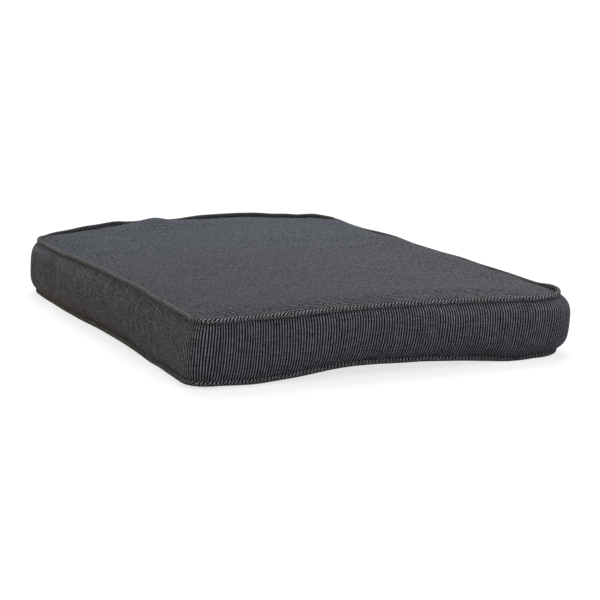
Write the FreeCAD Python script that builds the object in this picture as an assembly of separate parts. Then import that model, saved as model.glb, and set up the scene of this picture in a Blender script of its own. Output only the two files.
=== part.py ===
import FreeCAD, Part
import math
import os

# A boxed and piped kneeling pad with a zip along its back.
# Millimetres, +Z up, front towards -Y, origin on the floor below the middle of the plan.

# Pad
front_width = 365.0          # seam to seam, before the corners are rounded
back_width = 315.0
depth = 430.0
corner_radius = 22.0
foam_thickness = 50.0
wadding_thickness = 3.0
side_bulge = 6.0             # swell of the sides past the seams, at mid-height
crown = 7.5                  # rise of the middle of the top above its edges
crown_run = 60.0             # distance over which it rises, in from the rolled edge

# Cover
cloth = 0.6
cord_diameter = 3.2
seam_allowance = 10.0
edge_roll_share = 0.9        # share of the corner radius over which a panel rolls to its seam
bulge_start_gap = 0.3        # plain wall between the piping and the start of the bulge
back_panel_wrap = 85.0       # reach of the zipped back panel round onto each side
ply_gap = 0.2                # between the fillings and the allowances' ends or the tapes

# Zip
tape_thickness = 0.6
tape_width = 14.0            # middle of the chain to the outer edge of a tape
tape_tail = 12.0             # tape past each end of the chain
tape_edge_gap = 0.3          # middle of the chain to the inner edge of a tape
chain_inset = 37.5           # back corner, before rounding, to the end of the chain
tooth_pitch = 2.5
tooth_reach = 0.75           # how far a tooth's head crosses the middle
head_length = 0.6
head_width = 1.1             # narrow enough for the heads to pass as the strands part
neck_width = 0.7
strand_half_width = 2.6      # middle of the closed chain to the back of a strand
spine_width = 0.9
strand_height = 2.2
stop_length = 2.5
stop_wall = 0.6

# Slider and pull tab
slider_length = 12.0
slider_mouth = 3.0           # parallel stretch over the closed chain
channel_gap = 0.2            # strand to the slider's walls and divider
plate_thickness = 1.1
plate_gap = 0.3              # slider plates to the tape and strands
flange_thickness = 0.8
strand_spread = 0.23         # sideways run of each strand per millimetre inside the slider
divider_length = 4.6
divider_half_width = 0.8
slider_corner = 1.0
slot_gap = 0.4               # slider to the hems and to the foam behind it
bridge_width = 2.4
bridge_wall = 0.9
bridge_foot = 1.2
bridge_opening = 3.2
bridge_corner = 0.8
tab_length = 26.0
tab_end_width = 8.0
tab_neck_width = 6.4
tab_thickness = 1.2
tab_swing_gap = 0.1          # corner of the tab's bar to the plate and the bridge
tab_eye_gap = 0.4            # bridge to the inside of the tab's eye
grip_hole_diameter = 3.6

# Heights and levels that follow from these
piping_radius = cord_diameter / 2 + cloth
bottom_seam = piping_radius
top_seam = bottom_seam + foam_thickness
middle = (bottom_seam + top_seam) / 2
foam_bottom = cloth + wadding_thickness
foam_top = foam_bottom + foam_thickness
pad_height = foam_top + wadding_thickness + cloth
edge_roll = edge_roll_share * corner_radius
filling_edge = -(seam_allowance + ply_gap)
bulge_half_height = foam_thickness / 2 - piping_radius - bulge_start_gap
bulge_radius = (bulge_half_height ** 2 + side_bulge ** 2) / (2 * side_bulge)
taper = math.degrees(math.atan2((front_width - back_width) / 2, depth))

# Zip: lengths along the back, then levels outwards (+Y) from it
chain_length = back_width - 2 * chain_inset
back_seam = depth / 2
tape_face = back_seam + side_bulge - 2 * cloth
strand_top = tape_face + strand_height
spread_length = slider_length - slider_mouth
full_spread = spread_length * strand_spread
slider_half_width = strand_half_width + full_spread + channel_gap + flange_thickness
slot_half_height = slider_half_width + slot_gap
slider_front = chain_length / 2 - plate_gap
slider_rear = slider_front - slider_length
upper_plate = strand_top + plate_gap
bar_reach = tab_thickness / math.sqrt(2) + tab_swing_gap
tab_axis_y = upper_plate + plate_thickness + bar_reach
tab_axis_x = slider_front - slider_length / 2

UP = FreeCAD.Vector(0, 0, 1)
OUT = FreeCAD.Vector(0, 1, 0)
ALONG = FreeCAD.Vector(1, 0, 0)


def heading(angle):
    return FreeCAD.Vector(math.cos(math.radians(angle)), math.sin(math.radians(angle)), 0)


def joined(solids):
    """One solid from several that meet face to face or overlap."""
    return solids[0].fuse(solids[1:]).removeSplitter().Solids[0]


# ---- Sections across the pad's edge: u runs outwards from the seam line, z upwards ----

def profile(start, *steps):
    """A closed face. Each step is the end of a straight, or (through, end) of an arc."""
    def at(point):
        return FreeCAD.Vector(point[0], 0, point[1])

    edges, here = [], start
    for step in steps + (start,):
        if isinstance(step[0], tuple):
            through, end = step
            edges.append(Part.Arc(at(here), at(through), at(end)).toShape())
        else:
            end = step
            edges.append(Part.makeLine(at(here), at(end)))
        here = end
    return Part.Face(Part.Wire(edges))


def side_u(height):
    """Outer face of the boxing at a height inside the bulge."""
    return side_bulge - bulge_radius + math.sqrt(bulge_radius ** 2 - (height - middle) ** 2)


def side_band(inset, thickness, low, high):
    """One ply that follows the bulge, its outer face a given inset behind the boxing's."""
    centre = (low + high) / 2
    outer = [(side_u(z) - inset, z) for z in (low, centre, high)]
    inner = [(u - thickness, z) for u, z in outer]
    return profile(outer[0], (outer[1], outer[2]), inner[2], (inner[1], inner[0]))


def boxing_section():
    """The full boxing strip, turned in at both seams."""
    low, high = middle - bulge_half_height, middle + bulge_half_height
    return profile(
        (-seam_allowance, top_seam - cloth), (0, top_seam - cloth), (0, high),
        ((side_bulge, middle), (0, low)), (0, bottom_seam + cloth),
        (-seam_allowance, bottom_seam + cloth), (-seam_allowance, bottom_seam + 2 * cloth),
        (-cloth, bottom_seam + 2 * cloth), (-cloth, low),
        ((side_bulge - cloth, middle), (-cloth, high)), (-cloth, top_seam - 2 * cloth),
        (-seam_allowance, top_seam - 2 * cloth))


def half_boxing_section(seam, side):
    """The strip between a seam and mid-height; side is +1 for the upper and -1 for the lower."""
    edge = middle + side * bulge_half_height
    quarter = (middle + edge) / 2
    turn, inside = seam - side * cloth, seam - side * 2 * cloth
    return profile(
        (-seam_allowance, turn), (0, turn), (0, edge),
        ((side_u(quarter), quarter), (side_bulge, middle)), (side_bulge - cloth, middle),
        ((side_u(quarter) - cloth, quarter), (-cloth, edge)), (-cloth, inside),
        (-seam_allowance, inside))


def panel_section(seam, face, side):
    """Edge of a panel: folded at the seam over its allowance, then rolling to its flat face."""
    def ply(count):
        return seam + side * count * cloth

    rise = abs(face - ply(3))
    roll_radius = (edge_roll ** 2 + rise ** 2) / (2 * rise)

    def roll(u, under=0.0):
        drop = roll_radius - math.sqrt(roll_radius ** 2 - (u + edge_roll) ** 2)
        return (u, face - side * (drop + under))

    return profile(
        (-seam_allowance, ply(1)), (0, ply(1)), roll(0),
        (roll(-edge_roll / 2), roll(-edge_roll)), roll(-edge_roll, cloth),
        (roll(-edge_roll / 2, cloth), roll(-cloth, cloth)), (-cloth, ply(2)),
        (-seam_allowance, ply(2)))


def wadding_section(seam, face, foam_face, side):
    """Edge of a wadding sheet, which fills the roll of its panel up to the allowances."""
    rise = abs(face - (seam + side * 3 * cloth))
    roll_radius = (edge_roll ** 2 + rise ** 2) / (2 * rise)

    def under_panel(u):
        drop = roll_radius - math.sqrt(roll_radius ** 2 - (u + edge_roll) ** 2)
        return (u, face - side * (cloth + drop))

    return profile(
        (-edge_roll, foam_face), (filling_edge, foam_face), under_panel(filling_edge),
        (under_panel((filling_edge - edge_roll) / 2), under_panel(-edge_roll)))


def foam_section():
    """Edge of the foam, pressed back by the seam allowances and filling the bulge."""
    low, high = middle - bulge_half_height, middle + bulge_half_height
    low_shoulder, high_shoulder = bottom_seam + 2 * cloth, top_seam - 2 * cloth
    return profile(
        (-edge_roll, foam_bottom), (filling_edge, foam_bottom), (filling_edge, low_shoulder),
        (-cloth, low_shoulder), (-cloth, low), ((side_bulge - cloth, middle), (-cloth, high)),
        (-cloth, high_shoulder), (filling_edge, high_shoulder), (filling_edge, foam_top),
        (-edge_roll, foam_top))


def piping_section(seam):
    """Cloth round the cord, with both edges lying together in the seam."""
    meet = piping_radius - math.sqrt(piping_radius ** 2 - cloth ** 2)
    outside = profile(
        (-seam_allowance, seam - cloth), (meet, seam - cloth),
        ((2 * piping_radius, seam), (meet, seam + cloth)), (-seam_allowance, seam + cloth))
    return outside.cut(cord_section(seam)).Faces[0]


def cord_section(seam):
    centre = FreeCAD.Vector(piping_radius, 0, seam)
    return Part.Face(Part.Wire(Part.makeCircle(cord_diameter / 2, centre, OUT)))


# ---- Runs of the seam line, anticlockwise from the left joint of the boxing ----

def seam_runs():
    """The seam line as (kind, point, outward angle, length or turn); a corner's point is its centre."""
    half = depth / 2
    vertices = [
        (-front_width / 2, -half), (front_width / 2, -half),
        (back_width / 2, half), (-back_width / 2, half)]
    vertices = [FreeCAD.Vector(x, y, 0) for x, y in vertices]
    angles = [-90.0, taper, 90.0, 180.0 - taper]
    runs = []
    for index, angle in enumerate(angles):
        start, end = vertices[index], vertices[(index + 1) % 4]
        turn_in = (angle - angles[index - 1]) % 360
        turn_out = (angles[(index + 1) % 4] - angle) % 360
        trim_in = corner_radius * math.tan(math.radians(turn_in / 2))
        trim_out = corner_radius * math.tan(math.radians(turn_out / 2))
        along = heading(angle + 90)
        first = start + along * trim_in
        length = (end - start).Length - trim_in - trim_out
        centre = first + along * length - heading(angle) * corner_radius
        runs.append(("side", first, angle, length))
        runs.append(("corner", centre, angle, turn_out))
    front, front_right, right, back_right, back, back_left, left, front_left = runs
    right_split = right[3] + corner_radius * math.tan(math.radians(back_right[3] / 2))
    right_runs = split_side(right, right_split - back_panel_wrap)
    left_runs = split_side(left, back_panel_wrap - corner_radius * math.tan(math.radians(back_left[3] / 2)))
    main = [left_runs[1], front_left, front, front_right, right_runs[0]]
    rear = [right_runs[1], back_right, back, back_left, left_runs[0]]
    return main, rear


def split_side(run, length):
    kind, point, angle, total = run
    second = point + heading(angle + 90) * length
    return (kind, point, angle, length), (kind, second, angle, total - length)


def placed(section, point, angle):
    shape = section.copy()
    shape.rotate(FreeCAD.Vector(), UP, angle)
    shape.translate(point)
    return shape


def ring(section, runs):
    """A section carried along runs of the seam line."""
    solids = []
    for kind, point, angle, amount in runs:
        if kind == "side":
            solids.append(placed(section, point, angle).extrude(heading(angle + 90) * amount))
        else:
            face = placed(section, point + heading(angle) * corner_radius, angle)
            solids.append(face.revolve(point, UP, amount))
    return joined(solids)


def crowned_block(runs, bottom, level):
    """The pad's middle from a flat bottom up to a level, which rises from each side to the crown."""
    bend_radius = (crown_run ** 2 + crown ** 2) / (4 * crown)
    start_rise = bend_radius - math.sqrt(bend_radius ** 2 - (crown_run / 4) ** 2)
    start, halfway, end = (-corner_radius - crown_run * share for share in (0, 0.5, 1))
    top = level + crown
    under_crown = profile(
        (0, bottom), (0, level), (start, level),
        ((start - crown_run / 4, level + start_rise), (halfway, level + crown / 2)),
        ((end + crown_run / 4, top - start_rise), (end, top)), (-2 * depth, top),
        (-2 * depth, bottom))
    block = slab(runs, edge_roll, bottom, top - bottom)
    for kind, point, angle, length in runs:
        if kind == "side":
            along = heading(angle + 90)
            block = block.common(placed(under_crown, point - along * depth, angle).extrude(
                along * 3 * depth))
    return block.removeSplitter().Solids[0]


def crowned_sheet(runs, low, high):
    """A sheet of even thickness that lies over the crown."""
    return crowned_block(runs, middle, high).cut(crowned_block(runs, middle, low))


def slab(runs, inset, bottom, thickness):
    """A flat sheet inside the seam line."""
    edges = []
    for kind, point, angle, amount in runs:
        if kind == "side":
            start = point - heading(angle) * inset
            edges.append(Part.makeLine(start, start + heading(angle + 90) * amount))
        else:
            edges.append(Part.makeCircle(corner_radius - inset, point, UP, angle, angle + amount))
    face = Part.Face(Part.Wire(Part.__sortEdges__(edges)))
    face.translate(UP * bottom)
    return face.extrude(UP * thickness)


# ---- Cover and fillings ----

def joint_plies(runs, at_start):
    """The turned-back end of a boxing strip at its joint."""
    kind, point, angle, length = runs[0] if at_start else runs[-1]
    if not at_start:
        point = point + heading(angle + 90) * (length - seam_allowance)
    ply = side_band(cloth, cloth, middle - bulge_half_height, middle + bulge_half_height)
    return placed(ply, point, angle).extrude(heading(angle + 90) * seam_allowance)


def side_boxing(main):
    strip = ring(boxing_section(), main)
    return joined([strip, joint_plies(main, True), joint_plies(main, False)])


def hem(side):
    """The turned edge of a back strip along the zip."""
    near, far = middle + side * slot_half_height, middle + side * tape_width
    return extruded_along(side_band(cloth, cloth, min(near, far), max(near, far)))


def extruded_along(section):
    """A section of the back, carried along the length of the tapes."""
    length = chain_length + 2 * tape_tail
    start = FreeCAD.Vector(-length / 2, back_seam, 0)
    shape = placed(section, FreeCAD.Vector(), 90)
    shape.translate(start)
    return shape.extrude(ALONG * length)


def back_strip(rear, seam, side):
    """Half of the back panel, with its edge turned in along the zip and its ends at the joints."""
    strip = ring(half_boxing_section(seam, side), rear)
    half = side_half_space(side)
    ends = [joint_plies(rear, at_start).common(half) for at_start in (True, False)]
    slot = Part.makeBox(
        chain_length + 2 * tape_tail, 2 * side_bulge, 2 * slot_half_height,
        FreeCAD.Vector(-chain_length / 2 - tape_tail, back_seam, middle - slot_half_height))
    return joined([joined([strip] + ends).cut(slot), hem(side)])


def side_half_space(side):
    """A block that holds everything above or below mid-height."""
    bottom = middle if side > 0 else middle - pad_height
    return Part.makeBox(
        2 * front_width, 2 * depth, pad_height, FreeCAD.Vector(-front_width, -depth, bottom))


def panel(runs, seam, face, side):
    edge = ring(panel_section(seam, face, side), runs)
    flat = crowned_sheet(runs, face - cloth, face) if side > 0 else slab(runs, edge_roll, face, cloth)
    return joined([edge, flat])


def wadding(runs, seam, face, foam_face, side):
    edge = ring(wadding_section(seam, face, foam_face, side), runs)
    if side > 0:
        flat = crowned_sheet(runs, foam_face, foam_face + wadding_thickness)
    else:
        flat = slab(runs, edge_roll, foam_face - wadding_thickness, wadding_thickness)
    return joined([edge, flat])


def foam_core(main, rear):
    """Foam slab, crowned by the pull of its cover and pressed back behind the joints and the zip."""
    runs = main + rear
    block = joined([ring(foam_section(), runs), crowned_block(runs, foam_bottom, foam_top)])
    tapes = extruded_along(side_band(
        cloth, cloth + tape_thickness + ply_gap, middle - tape_width, middle + tape_width))
    pocket_floor = slider_back() - plate_thickness - slot_gap
    pocket = Part.makeBox(
        chain_length + 2 * tape_tail, 2 * side_bulge, 2 * slot_half_height,
        FreeCAD.Vector(-chain_length / 2 - tape_tail, pocket_floor, middle - slot_half_height))
    plies = [joint_plies(strip, at_start) for strip in (main, rear) for at_start in (True, False)]
    return block.cut(plies + [tapes, pocket]).Solids[0]


# ---- Zip: plan shapes lie in x and z, and grow outwards from a level ----

def prism(points, level, height):
    """A plan outline around the chain's middle line, extruded outwards."""
    corners = [FreeCAD.Vector(x, level, middle + z) for x, z in points]
    return Part.Face(Part.makePolygon(corners + corners[:1])).extrude(OUT * height)


def bar(points, start, length):
    """An outline across the chain, of (outwards, z) points, carried along the chain."""
    corners = [FreeCAD.Vector(start, y, middle + z) for y, z in points]
    return Part.Face(Part.makePolygon(corners + corners[:1])).extrude(ALONG * length)


def spread(x):
    """Sideways shift of a strand, which leaves the middle line inside the slider."""
    inside = x - (slider_front - spread_length)
    return strand_spread * min(max(inside, 0.0), spread_length)


def mirrored(points):
    return [(x, -z) for x, z in points]


def zip_tape(side):
    near, far = middle, middle + side * tape_width
    band = extruded_along(side_band(2 * cloth, tape_thickness, min(near, far), max(near, far)))
    end = chain_length / 2 + tape_tail
    turn = slider_front - spread_length
    edge = [(x, tape_edge_gap + spread(x)) for x in (-end, turn, slider_front, end)]
    opening = prism(edge + mirrored(edge)[::-1], back_seam, side_bulge)
    return band.cut(opening).Solids[0]


def zip_strand(side):
    """One strand of the chain: heads that lock between the other strand's, on a common spine."""
    count = int(chain_length // tooth_pitch)
    first = -chain_length / 2 + tooth_pitch / 4
    teeth = []
    for index in range(count):
        x = first + index * tooth_pitch + (tooth_pitch / 2 if side > 0 else 0)
        shift = spread(x)
        inner = strand_half_width - spine_width + shift
        shoulder, tip = head_length - tooth_reach + shift, shift - tooth_reach
        neck, head = neck_width / 2, head_width / 2
        teeth += [
            (x - neck, inner), (x - neck, shoulder), (x - head, shoulder), (x - head, tip),
            (x + head, tip), (x + head, shoulder), (x + neck, shoulder), (x + neck, inner)]
    start, end = teeth[0][0], teeth[-1][0]
    turn = slider_front - spread_length
    back = [(x, strand_half_width + spread(x)) for x in (end, slider_front, turn, start) if x <= end]
    outline = teeth + back
    return prism(outline if side > 0 else mirrored(outline), tape_face, strand_height)


def zip_bottom_stop():
    """A stop of H section that holds both tapes together where the chain starts."""
    front, back = tape_face + strand_height, tape_face - tape_thickness - stop_wall
    wide, web = strand_half_width, tape_edge_gap
    half = [
        (front, 0), (front, wide), (tape_face, wide), (tape_face, web),
        (tape_face - tape_thickness, web), (tape_face - tape_thickness, wide), (back, wide), (back, 0)]
    outline = half + [(y, -z) for y, z in half[-2:0:-1]]
    stop = bar(outline, -chain_length / 2 - stop_length, stop_length)
    return stop.cut([zip_tape(1), zip_tape(-1)]).Solids[0]


def zip_top_stops():
    """Two clips of C section, one round the edge of each tape where the chain ends."""
    front, back = tape_face + strand_height, tape_face - tape_thickness - stop_wall
    edge = tape_edge_gap + full_spread
    near, far = edge - stop_wall, edge + strand_half_width
    outline = [
        (front, near), (front, far), (tape_face, far), (tape_face, edge),
        (tape_face - tape_thickness, edge), (tape_face - tape_thickness, far), (back, far), (back, near)]
    clips = []
    for side in (1, -1):
        clip = bar([(y, side * z) for y, z in outline], chain_length / 2, stop_length)
        clips.append(clip.cut(zip_tape(side)).Solids[0])
    return Part.makeCompound(clips)


def slider_back():
    """Outer face of the slider's rear plate, clear of the curved tapes."""
    return back_seam + side_u(middle + slider_half_width) - 2 * cloth - tape_thickness - plate_gap


def slider_outline(half_width):
    """Plan of the slider from its single mouth to its double one."""
    turn = slider_rear + slider_mouth
    edge = [
        (slider_rear, half_width), (turn, half_width), (slider_front, half_width + full_spread)]
    return edge + mirrored(edge)[::-1]


def zip_slider():
    inner_half = strand_half_width + channel_gap
    back = slider_back()
    front = upper_plate + plate_thickness
    body = prism(slider_outline(inner_half + flange_thickness), back - plate_thickness,
                 front - back + plate_thickness)
    uprights = [edge for edge in body.Edges if abs(edge.tangentAt(0).dot(OUT)) > 0.99]
    corners = [edge for edge in uprights if abs(edge.CenterOfMass.x - slider_rear - slider_mouth) > cloth]
    body = body.makeFillet(slider_corner, corners)
    channel = prism(slider_outline(inner_half), back, upper_plate - back)
    tape_way = Part.makeBox(
        slider_length, tape_face + plate_gap - back, 2 * slot_half_height,
        FreeCAD.Vector(slider_rear, back, middle - slot_half_height))
    tip = slider_front - divider_length
    divider = prism(
        [(tip, 0), (slider_front - slider_corner, divider_half_width), (slider_front, 0),
         (slider_front - slider_corner, -divider_half_width)], back - plate_thickness / 2,
        upper_plate - back + plate_thickness)
    return joined([body.cut([channel, tape_way]), divider, slider_bridge(front)])


def slider_bridge(plate_face):
    """Arch along the slider that the pull tab's bar turns in."""
    length = bridge_opening + 2 * bridge_foot
    rise = 2 * bar_reach
    low = middle - bridge_width / 2
    start = tab_axis_x - length / 2
    arch = Part.makeBox(
        length, rise + bridge_wall, bridge_width, FreeCAD.Vector(start, plate_face, low))
    top_edges = [
        edge for edge in arch.Edges
        if abs(edge.tangentAt(0).z) > 0.99 and edge.CenterOfMass.y > plate_face + rise]
    arch = arch.makeFillet(bridge_corner, top_edges)
    opening = Part.makeBox(
        bridge_opening, rise, bridge_width, FreeCAD.Vector(start + bridge_foot, plate_face, low))
    return arch.cut(opening)


def zip_pull_tab():
    """Flat tab whose end bar lies under the bridge; it rests along the closed chain."""
    half = tab_thickness / 2
    reach = math.hypot(bridge_opening / 2 + bridge_foot, bar_reach + bridge_wall) + tab_eye_gap
    eye_half = bridge_width / 2 + tab_eye_gap
    neck_half, end_half = tab_neck_width / 2, tab_end_width / 2
    x = tab_axis_x
    far = x - tab_length
    outline = [
        (x + half, neck_half), (x - reach - half, neck_half), (far, end_half),
        (far, -end_half), (x - reach - half, -neck_half), (x + half, -neck_half)]
    plate = prism(outline, tab_axis_y - half, tab_thickness)
    end_edges = [
        edge for edge in plate.Edges
        if abs(edge.tangentAt(0).dot(OUT)) > 0.99 and edge.CenterOfMass.x < far + cloth]
    plate = plate.makeFillet(end_half * edge_roll_share, end_edges)
    eye = prism(
        [(x - half, eye_half), (x - reach, eye_half), (x - reach, -eye_half), (x - half, -eye_half)],
        tab_axis_y - half, tab_thickness)
    hole = Part.makeCylinder(
        grip_hole_diameter / 2, tab_thickness,
        FreeCAD.Vector(far + end_half, tab_axis_y - half, middle), OUT)
    return plate.cut([eye, hole]).Solids[0]


# ---- The pad ----

def build():
    main, rear = seam_runs()
    runs = main + rear
    return {
        "foam_core": foam_core(main, rear),
        "wadding_top": wadding(runs, top_seam, pad_height, foam_top, 1),
        "wadding_bottom": wadding(runs, bottom_seam, 0.0, foam_bottom, -1),
        "top_panel": panel(runs, top_seam, pad_height, 1),
        "bottom_panel": panel(runs, bottom_seam, 0.0, -1),
        "side_boxing": side_boxing(main),
        "back_boxing_upper": back_strip(rear, top_seam, 1),
        "back_boxing_lower": back_strip(rear, bottom_seam, -1),
        "top_piping_cover": ring(piping_section(top_seam), runs),
        "top_piping_cord": ring(cord_section(top_seam), runs),
        "bottom_piping_cover": ring(piping_section(bottom_seam), runs),
        "bottom_piping_cord": ring(cord_section(bottom_seam), runs),
        "zip_tape_upper": zip_tape(1),
        "zip_tape_lower": zip_tape(-1),
        "zip_coil_upper": zip_strand(1),
        "zip_coil_lower": zip_strand(-1),
        "zip_bottom_stop": zip_bottom_stop(),
        "zip_top_stops": zip_top_stops(),
        "zip_slider": zip_slider(),
        "zip_pull_tab": zip_pull_tab(),
    }


os.makedirs("parts", exist_ok=True)
for name, shape in build().items():
    shape.exportStep("parts/" + name + ".step")
    print(name, len(shape.Solids), "solid(s)", round(shape.Volume), "mm3")
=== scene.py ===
import math

import bpy
import numpy as np
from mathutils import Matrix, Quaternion, Vector


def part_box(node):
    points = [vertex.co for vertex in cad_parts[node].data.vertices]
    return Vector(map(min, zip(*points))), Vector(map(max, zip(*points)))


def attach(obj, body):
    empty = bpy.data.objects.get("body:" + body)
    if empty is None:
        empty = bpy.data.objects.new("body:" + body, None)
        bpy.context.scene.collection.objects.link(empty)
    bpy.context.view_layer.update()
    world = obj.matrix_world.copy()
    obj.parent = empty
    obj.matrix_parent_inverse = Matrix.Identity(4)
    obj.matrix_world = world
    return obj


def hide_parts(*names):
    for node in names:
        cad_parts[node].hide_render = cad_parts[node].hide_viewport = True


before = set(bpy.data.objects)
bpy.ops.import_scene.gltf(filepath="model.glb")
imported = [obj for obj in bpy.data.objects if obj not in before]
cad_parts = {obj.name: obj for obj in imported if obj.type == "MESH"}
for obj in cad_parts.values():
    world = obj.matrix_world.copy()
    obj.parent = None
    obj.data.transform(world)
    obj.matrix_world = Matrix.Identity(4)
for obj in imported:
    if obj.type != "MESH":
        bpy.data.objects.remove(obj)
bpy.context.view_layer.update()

# ---- Seam line ----
# The pad is cut to a plan that is wider at the front than at the back, with rounded corners.
# Every panel, strip and piping follows this one line. Its top and bottom copies ride up and
# down between the corners, where the sewn cover has drawn the foam's edges out of true.

front_width = 0.365
back_width = 0.315
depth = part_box("top_panel")[1].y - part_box("top_panel")[0].y
piping_radius = (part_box("bottom_piping_cover")[1].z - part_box("bottom_piping_cover")[0].z) / 2
bottom_seam = piping_radius
top_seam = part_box("top_piping_cover")[1].z - piping_radius
middle = (bottom_seam + top_seam) / 2
cells_across, cells_deep = 80, 96

# corners, in order: front left, front right, back right, back left
top_radii = (0.015, 0.030, 0.020, 0.034)
bottom_radii = (0.020, 0.030, 0.024, 0.034)
top_corner_lifts = (0.0063, 0.0015, -0.0002, -0.0012)
bottom_corner_lifts = (0.0024, 0.0005, 0.0, 0.0)
corner_swells = (0.0040, 0.0136, 0.0068, 0.0100)
corner_skews = (0.0, 0.03, 0.0, 0.0)     # above nought: a strip that swells most near its top

# sides, in order: front, right, back, left; each holds (height, place, half length) of its arches
top_arches = (
    [(0.0038, 0.55, 0.5)],
    [(0.0007, 0.5, 0.42), (0.0010, 0.72, 0.1), (0.0009, 0.055, 0.07), (0.0012, 0.92, 0.07),
     (0.0008, 0.66, 0.07), (0.0006, 0.40, 0.08)],
    [(0.0065, 0.40, 0.5), (0.0043, 0.74, 0.24), (-0.0014, 0.10, 0.14), (0.0008, 0.11, 0.06),
     (0.0014, 0.61, 0.05), (-0.0007, 0.79, 0.06)],
    [(0.0037, 0.5, 0.5)])
bottom_arches = (
    [(0.0077, 0.42, 0.27), (0.0046, 0.64, 0.23), (-0.0010, 0.86, 0.1), (-0.0009, 0.12, 0.08),
     (-0.0006, 0.52, 0.08)],
    [(0.003, 0.5, 0.4)], [], [(0.0012, 0.55, 0.35), (-0.0018, 0.75, 0.13)])
side_swells = (
    [(0.001, 0.4, 0.4)], [(-0.003, 0.5, 0.5)], [(-0.002, 0.5, 0.5)], [(0.001, 0.5, 0.5)])
no_arches = ([], [], [], [])

# where the bottom seam was sewn off its line: (place across, place back, reach, shift)
foot_shifts = (
    (-0.18, -0.21, 0.07, (-0.0048, 0.0022)), (-0.165, 0.10, 0.07, (-0.0022, 0.0)),
    (0.18, -0.21, 0.05, (-0.0020, 0.0010)))

crowding = 0.6               # how much closer the columns of cloth lie at the corners
strip_line_share = 0.8       # share of the swell at which the strip's length is measured

taper = math.atan2((front_width - back_width) / 2, depth)
side_angles = (-math.pi / 2, taper, math.pi / 2, math.pi - taper)
corners = [
    np.array(corner) for corner in (
        (-front_width / 2, -depth / 2), (front_width / 2, -depth / 2),
        (back_width / 2, depth / 2), (-back_width / 2, depth / 2))]


def turn_between(first, second):
    return (side_angles[second % 4] - side_angles[first % 4]) % (2 * math.pi)


def side_length(side, radii):
    """Length of a side from the middle of one rounded corner to the middle of the next."""
    length = np.linalg.norm(corners[(side + 1) % 4] - corners[side])
    for corner in (side, side + 1):
        turn = turn_between(corner - 1, corner)
        length += radii[corner % 4] * (turn / 2 - math.tan(turn / 2))
    return length


def seam_place(side, fraction, radii):
    """Plan point and outward direction at a share of a side, from mid corner to mid corner."""
    start, end = corners[side], corners[(side + 1) % 4]
    forward = (end - start) / np.linalg.norm(end - start)
    outward = np.array((math.cos(side_angles[side]), math.sin(side_angles[side])))
    turn_in, turn_out = turn_between(side - 1, side), turn_between(side, side + 1)
    radius_in, radius_out = radii[side], radii[(side + 1) % 4]
    first = start + forward * radius_in * math.tan(turn_in / 2)
    last = end - forward * radius_out * math.tan(turn_out / 2)
    arc_in, arc_out = radius_in * turn_in / 2, radius_out * turn_out / 2
    along = fraction * side_length(side, radii)
    rest = side_length(side, radii) - along
    if along < arc_in:
        angle, tangent, radius = side_angles[side] - (arc_in - along) / radius_in, first, radius_in
    elif rest < arc_out:
        angle, tangent, radius = side_angles[side] + (arc_out - rest) / radius_out, last, radius_out
    else:
        return first + forward * (along - arc_in), outward
    direction = np.array((math.cos(angle), math.sin(angle)))
    return tangent - outward * radius + direction * radius, direction


def smooth_step(value):
    """A smooth rise from nought to one while the value runs from nought to one."""
    value = np.clip(value, 0, 1)
    return value * value * (3 - 2 * value)


def arch(fraction, place, half_length):
    offset = min(max((fraction - place) / half_length, -1.0), 1.0)
    return math.cos(offset * math.pi / 2) ** 2


def lift(side, fraction, corner_lifts, arches):
    """Height at a share of a side, from the heights of its corners and its own arches."""
    ease = smooth_step(fraction)
    level = corner_lifts[side] * (1 - ease) + corner_lifts[(side + 1) % 4] * ease
    return level + sum(height * arch(fraction, place, half) for height, place, half in arches[side])


def eased(shares):
    """Even shares of a side drawn closer together towards its corners."""
    return shares - crowding * np.sin(2 * math.pi * shares) / (2 * math.pi)


class Seam:
    """The top and bottom seams at even steps of each side, one column of cloth to a step."""

    def __init__(self, steps):
        rows = []
        for side in range(4):
            for index in range(steps[side]):
                fraction = float(eased(index / steps[side]))
                rows.append((
                    *seam_place(side, fraction, top_radii),
                    *seam_place(side, fraction, bottom_radii),
                    (top_seam + lift(side, fraction, top_corner_lifts, top_arches),
                     bottom_seam + lift(side, fraction, bottom_corner_lifts, bottom_arches)),
                    (lift(side, fraction, corner_swells, side_swells),
                     lift(side, fraction, corner_skews, no_arches), side)))
        self.plan, self.outward, self.low_plan, self.low_outward, heights, rest = (
            np.array(column) for column in zip(*rows))
        for across, back, reach, shift in foot_shifts:
            near = np.exp(-((self.low_plan - (across, back)) ** 2).sum(1) / reach ** 2)
            self.low_plan += near[:, None] * shift
        self.top, self.bottom = heights.T
        self.swell, self.skew, self.side_of = rest.T
        self.count = len(rows)
        self.distance, self.length = self.travel(
            self.points(self.swell * strip_line_share, self.top, 0.5))

    def points(self, outset, heights, share=1.0, columns=slice(None)):
        """Points out from the seam line, at a share of the way from its bottom to its top plan."""
        share, outset = np.reshape(share, (-1, 1)), np.reshape(outset, (-1, 1))
        outward = self.low_outward[columns] * (1 - share) + self.outward[columns] * share
        outward /= np.linalg.norm(outward, axis=1, keepdims=True)
        plan = self.low_plan[columns] * (1 - share) + self.plan[columns] * share
        return np.column_stack([plan + outward * outset, heights])

    def travel(self, points):
        """Distance run along a closed line of points, and its whole length."""
        steps = np.linalg.norm((np.roll(points, -1, 0) - points)[:, :2], axis=1)
        return np.r_[0, np.cumsum(steps[:-1])], steps.sum()


def seam_of(parts):
    """The seam with each column of cloth split into parts."""
    return Seam((cells_across * parts, cells_deep * parts) * 2)


seam = seam_of(1)


# ---- Striped cloth ----
# Yarn-dyed cotton cloth with pale pinstripes on a near-black navy ground. The stripes run
# along the warp and stand a little proud; crossing weft threads give it a dry, matt weave.

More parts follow.
